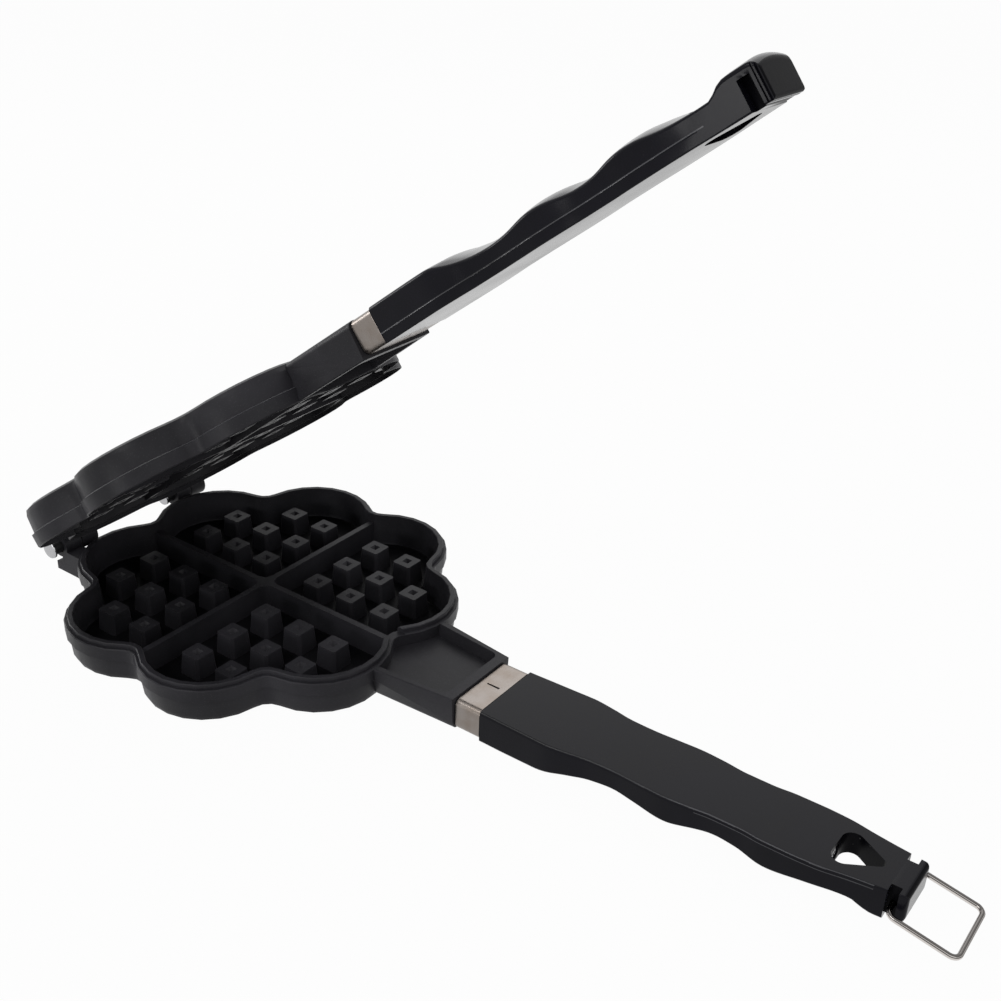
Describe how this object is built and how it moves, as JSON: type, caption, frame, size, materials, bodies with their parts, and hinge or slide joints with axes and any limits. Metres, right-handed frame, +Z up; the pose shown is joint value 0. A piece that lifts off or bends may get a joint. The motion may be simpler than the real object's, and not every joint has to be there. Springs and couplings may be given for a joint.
{
  "type": "heart waffle iron",
  "caption": "Stovetop heart waffle iron: hinged cast plates with heart-shaped cavities and stud grids, waved moulded handles with steel ferrules, and a wire bail that locks the handles shut.",
  "frame": {"origin": "the centre of the lower plate's flat underside", "axes": "+X runs from the hinge along the lower handle, +Z is up, square to the underside, and +Y runs along the hinge axis away from the side on which the pins stand out"},
  "size_m": [0.418, 0.1664, 0.264],
  "materials": {
    "coated_casting": "black non-stick coating on cast aluminium, satin with a fine grain",
    "handle_plastic": "black moulded heat-proof plastic, smooth and glossy",
    "ferrule_steel": "thin rolled stainless sheet, softly brushed",
    "screw_steel": "plated steel screw",
    "pin_steel": "plain bright steel pin",
    "bail_wire": "bright drawn steel wire"
  },
  "bodies": {
    "lower": {"lower_plate": "coated_casting", "lower_ferrule": "ferrule_steel", "lower_handle": "handle_plastic", "lower_handle_screw": "screw_steel", "hinge_pin_near": "pin_steel", "hinge_pin_far": "pin_steel"},
    "upper": {"upper_plate": "coated_casting", "upper_ferrule": "ferrule_steel", "upper_handle": "handle_plastic", "upper_handle_screw": "screw_steel"},
    "bail": {"bail": "bail_wire"}
  },
  "joints": [
    {"name": "plate_hinge", "type": "hinge", "parent": "lower", "child": "upper", "pos_m": [-0.08929, 0, 0.0183], "axis": [0, -1, 0], "range_deg": [-37.7, 72.3]},
    {"name": "bail_swing", "type": "hinge", "parent": "lower", "child": "bail", "pos_m": [0.2948, 0, 0.0087], "axis": [0, 1, 0], "range_deg": [-134.5, 150]}
  ]
}
